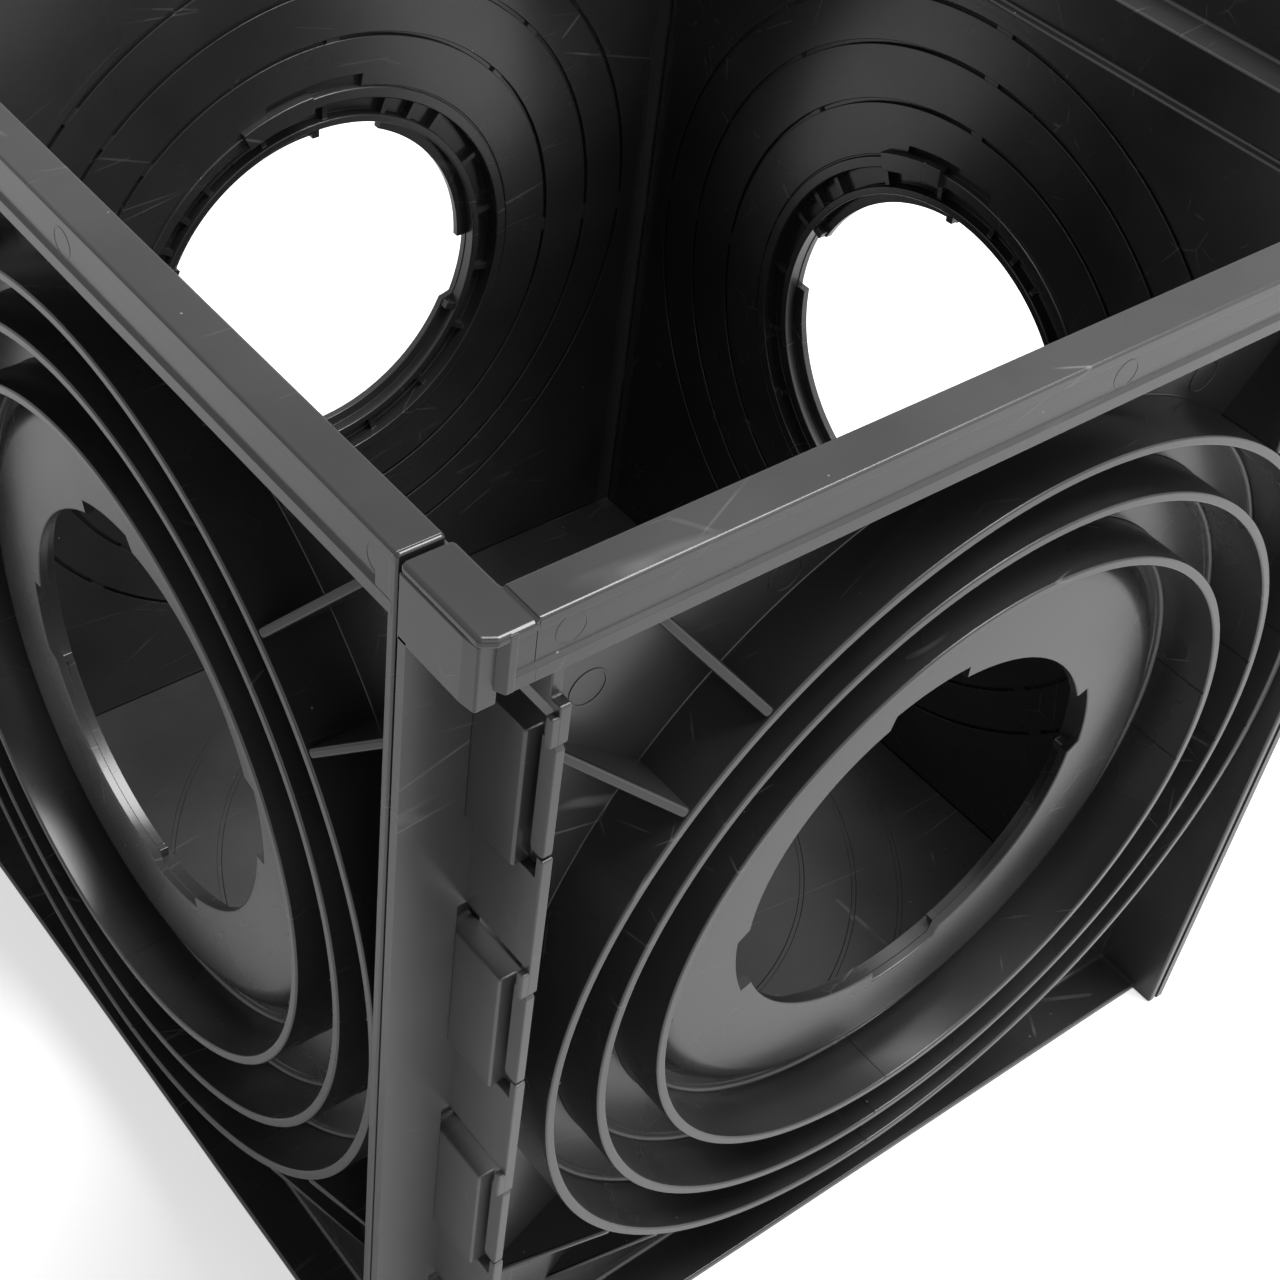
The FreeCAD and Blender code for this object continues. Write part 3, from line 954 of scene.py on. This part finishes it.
    def build(self, skin: Skin, axis: Lie) -> None:
        """Turn the section about the pipe axis and add the small blocks on it.

        Args:
            skin: Where the surface goes.
            axis: Pipe axis in the wall.
        """
        stretches = self.stretches()
        low, high, rise, fall = np.concatenate(list(stretches.values())).T
        steady = np.arange(0.0, 360.0, 1.5)
        turns = np.concatenate([steady, low, low + rise, high - fall, high])
        angles = np.unique(np.round(np.mod(turns, 360.0), 4))
        corners = [self.outline(change) for change in (None, *stretches)]
        rounds = [rounded(shape[:, :2], shape[:, 2], 3) for shape in corners]
        profile, normal = (np.repeat(plain[None], len(angles), axis=0) for plain in rounds[0])
        for (path, lean), group in zip(rounds[1:], stretches.values()):
            share = self.share(angles, group)[:, None, None]
            profile += share * (path - rounds[0][0])
            normal += share * (lean - rounds[0][1])
        skin.turned(axis, np.radians(angles), profile, normal)
        depth = (self.boss + 1.0, self.back + self.block_high)
        self.arc_block(skin, axis, self.block_at, self.block_radii, depth)
        radii, depth = (self.lip + 0.5, self.sleeve + 1.0), self.boss + np.array(self.nub_deep)
        for start, end, rise, fall in stretches[Change.NOTCH]:
            at = end + self.nub_off if fall > rise else start - self.nub_off
            self.arc_block(skin, axis, (at - self.nub_half, at + self.nub_half), radii, depth)
        edge, depth = self.witness_edge, (self.front + self.witness_edge, self.plate + 0.5)
        for inside in np.array(self.collars) - self.wall:
            half = math.degrees(self.witness_wide / 2 / inside)
            radii = (inside - self.witness_high, inside + 0.5)
            for at in self.witness_at:
                self.arc_block(skin, axis, (at - half, at + half), radii, depth, edge)

    @staticmethod
    def share(angles: Array, stretches: Array) -> Array:
        """Share of a change at each angle.

        Along a stretch the share rises evenly from its start and falls evenly to its end; of
        several stretches the largest holds.

        Args:
            angles: Angles in degrees.
            stretches: Start, end, rise and fall, one row each.

        Returns:
            Share from 0 to 1 at each angle.
        """
        low, high, rise, fall = stretches.T
        middle = (low + high) / 2
        away = np.mod(angles[:, None] - middle + 180.0, 360.0) - 180.0 + middle
        return np.clip(np.minimum((away - low) / rise, (high - away) / fall), 0.0, 1.0).max(axis=1)

    @staticmethod
    def arc_block(
        skin: Skin, axis: Lie, span: Pair, radii: Pair, depth: Pair, edge: float = 0.25
    ) -> None:
        """Raise a block bent about the axis: out along one arc and back along another.

        Args:
            skin: Where the surface goes.
            axis: Pipe axis in the wall.
            span: First and last angle in degrees.
            radii: Inner and outer radius.
            depth: Near and far face along the axis.
            edge: Radius of its edges.
        """
        turn = np.radians(np.linspace(*span, max(3, int((span[1] - span[0]) / 3))))
        angle = np.concatenate([turn, turn[::-1]])
        radius = np.repeat(radii, len(turn))
        outline = np.stack([radius * np.cos(angle), radius * np.sin(angle)], axis=1)
        skin.prism(axis, outline.tolist(), *depth, edge)


@dataclass
class Floor(Moulding):
    """Square floor that lies on the ledges, with the circles of the walls pressed into it."""

    play: float = 0.3
    low: float = 2.0
    high: float = 4.4
    creases: tuple[float, ...] = PipeEnd.creases
    crease_wide: float = 1.6
    crease_deep: float = 0.35
    gate: float = 4.0
    gate_high: float = 0.25
    hidden: float = 121.0
    sunk: float = 0.04

    def build(self) -> bpy.types.Object:
        """Build the floor.

        Returns:
            The floor piece.
        """
        skin = Skin()
        reach = self.middle - self.inner - self.play
        axis = Lie((self.middle, self.middle, 0), (1, 0, 0), (0, 1, 0), (0, 0, -1))
        sides, edges = (reach, reach, -reach, -reach), (0.4,) * 4
        skin.panel(axis, sides, self.hidden, (-self.high, -self.low), edges)
        half, top, under = self.crease_wide / 2, -self.high, -self.low - self.sunk
        dent, gate, rim = top + self.crease_deep, top - self.gate_high, self.hidden + 0.8
        corners = [(top + self.sunk, rim, 0.02), (top, self.hidden, 0.02)]
        for crease in self.creases:
            near, far = crease - half, crease + half
            corners += [
                (top, far, 0.12), (dent, far - 0.15, 0.1), (dent, near + 0.15, 0.1),
                (top, near, 0.12),
            ]
        corners += [
            (top, self.gate, 0.1), (gate, self.gate - 0.2, 0.1), (gate, 0.3, 0.02),
            (under, 0.3, 0.02), (under, rim, 0.02),
        ]
        skin.ring(axis, corners, 240)
        return self.dress(skin, "floor_plate", 0.0, "floor_panel", "floor")


# ---------------- studio


@dataclass
class Studio:
    """Pale floor, white backdrop, soft lamps and the camera."""

    eye: Spot = (-306.2, -342.2, 531.6)
    heading: float = 0.8668
    dip: float = 0.7746
    roll: float = -0.0978
    lens: float = 59.98
    shift: Pair = (0.0944, 0.0280)
    floor_half: float = 6000.0
    ambient: float = 0.30
    floor_seen: float = 0.55
    floor_gloss: float = 0.12
    floor_tones: Pair = (0.70, 0.74)
    target: Spot = (0.0, 0.0, 150.0)
    lamps: tuple[tuple[str, Spot, float, float], ...] = (
        ("key_left", (-500.0, -1800.0, 900.0), 1200.0, 6.0),
        ("key_right", (850.0, -1450.0, 1050.0), 2000.0, 14.0),
        ("top", (550.0, -300.0, 1900.0), 1100.0, 66.0),
    )

    def build(self) -> None:
        """Set up the studio."""
        bpy.context.scene.view_settings.view_transform = "Standard"
        self.world()
        self.ground()
        for lamp in self.lamps:
            self.lamp(*lamp)
        self.camera()

    def world(self) -> None:
        """White for rays that see it, and a plain soft level for the rest."""
        world = bpy.data.worlds.new("studio_white")
        graph = Graph(world)
        path = graph.add("LightPath").outputs
        seen = graph.math("MAXIMUM", path["Is Camera Ray"], path["Is Glossy Ray"])
        seen = graph.math("MAXIMUM", seen, path["Is Transmission Ray"])
        plain, white = (
            graph.add("Background", {"Color": (1, 1, 1, 1), "Strength": level}).outputs[0]
            for level in (self.ambient, 1.0)
        )
        mixed = graph.add("MixShader", {0: seen, 1: plain, 2: white})
        graph.add("OutputWorld", {"Surface": mixed.outputs[0]})
        bpy.context.scene.world = world

    def ground(self) -> None:
        """Pale floor that keeps a soft shadow under the object."""
        half = self.floor_half * MM
        corners = [(-half, -half, 0), (half, -half, 0), (half, half, 0), (-half, half, 0)]
        mesh = bpy.data.meshes.new("studio_floor")
        mesh.from_pydata(corners, [], [(0, 1, 2, 3)])
        material = bpy.data.materials.new("studio_floor_white")
        graph = Graph(material)
        cloud = graph.noise(graph.add("TexCoord").outputs["Object"], 3.0)
        tone = graph.mix(cloud, *((level, level, level, 1) for level in self.floor_tones))
        plain = graph.add("BsdfDiffuse", {"Color": tone})
        path = graph.add("LightPath").outputs
        straight = graph.math("MAXIMUM", path["Is Camera Ray"], path["Is Transmission Ray"])
        seen = graph.math("MULTIPLY", straight, self.floor_seen)
        gloss = graph.math("MULTIPLY", path["Is Glossy Ray"], self.floor_gloss)
        shine = {"Color": (1, 1, 1, 1), "Strength": graph.math("ADD", seen, gloss)}
        glow = graph.add("Emission", shine)
        both = graph.add("AddShader", {0: plain.outputs[0], 1: glow.outputs[0]})
        graph.add("OutputMaterial", {"Surface": both.outputs[0]})
        mesh.materials.append(material)
        floor = put("studio_floor", mesh)

    def lamp(self, name: str, spot: Spot, size: float, power: float) -> None:
        """Hang one square lamp that points at the object.

        Args:
            name: Name of the lamp.
            spot: Where it hangs, in millimetres.
            size: Side of the lamp, in millimetres.
            power: Power in watts.
        """
        data = bpy.data.lights.new(name, "AREA")
        data.size, data.energy = size * MM, power
        lamp = put(name, data)
        aim = (Vector(self.target) - Vector(spot)).to_track_quat("-Z", "Y")
        lamp.matrix_world = Matrix.Translation(Vector(spot) * MM) @ aim.to_matrix().to_4x4()

    def camera(self) -> None:
        """Stand the camera where the photograph was taken from."""
        dip, heading, roll = self.dip, self.heading, self.roll
        flat = math.cos(dip)
        ahead = np.array([flat * math.cos(heading), flat * math.sin(heading), -math.sin(dip)])
        right = unit(np.cross(ahead, [0.0, 0.0, 1.0]))
        down = np.cross(ahead, right)
        across = math.cos(roll) * right + math.sin(roll) * down
        below = -math.sin(roll) * right + math.cos(roll) * down
        data = bpy.data.cameras.new("camera")
        data.sensor_width, data.lens = 36.0, self.lens
        data.shift_x, data.shift_y = self.shift
        data.clip_start, data.clip_end = 0.01, 50.0
        camera = put("camera", data)
        place = np.eye(4)
        place[:3, :3] = np.stack([across, -below, -ahead], axis=1)
        place[:3, 3] = np.array(self.eye) * MM
        camera.matrix_world = Matrix(place.tolist())
        bpy.context.scene.camera = camera


def main() -> None:
    """Build the walls, the floor and the studio."""
    logging.basicConfig(level=logging.INFO, format="%(name)s: %(message)s")
    black = BlackPolypropylene("black_polypropylene").material()
    for place in Place:
        Wall(black, place=place).build()
    Floor(black).build()
    Studio().build()


if __name__ == "__main__":
    main()
